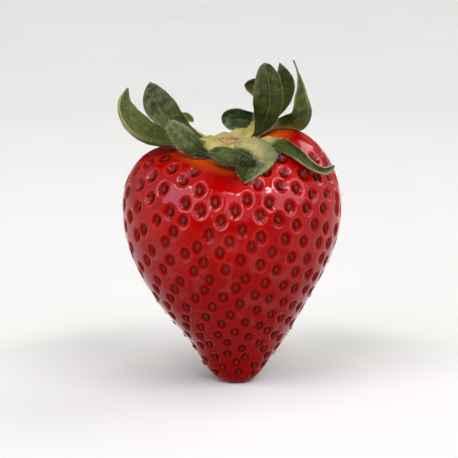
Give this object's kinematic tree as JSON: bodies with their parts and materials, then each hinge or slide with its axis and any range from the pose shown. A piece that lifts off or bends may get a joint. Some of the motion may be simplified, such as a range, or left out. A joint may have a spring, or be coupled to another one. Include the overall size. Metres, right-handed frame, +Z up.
{
  "type": "strawberry",
  "caption": "Whole ripe heart-shaped strawberry with its leafy green calyx, standing upright on the flattened tip of the fruit.",
  "frame": {"origin": "centre of the flat spot on the fruit's tip, on the surface it stands on", "axes": "+Z up towards the calyx, +X to the right of somebody who looks along +Y at the front of the fruit"},
  "size_m": [0.0429, 0.0364, 0.0634],
  "materials": {
    "berry_red": "gloss",
    "calyx_pale_green": "matte",
    "sepal_green": "matte",
    "bract_green": "matte"
  },
  "bodies": {
    "root": {"berry_flesh": "berry_red", "calyx_hub": "calyx_pale_green", "sepal_right_upright": "sepal_green", "sepal_right_folded": "sepal_green", "sepal_right_rear_upright": "sepal_green", "sepal_rear_right_curled": "sepal_green", "sepal_rear_right_low": "sepal_green", "sepal_rear_low": "sepal_green", "sepal_rear_left_low": "sepal_green", "sepal_left_upper": "sepal_green", "sepal_left_outer": "sepal_green", "sepal_front": "sepal_green", "sepal_right_front": "sepal_green", "bract_rear_rolled": "bract_green", "bract_left_rear": "bract_green", "bract_left_front": "bract_green", "bract_front_rolled": "bract_green"}
  },
  "joints": []
}
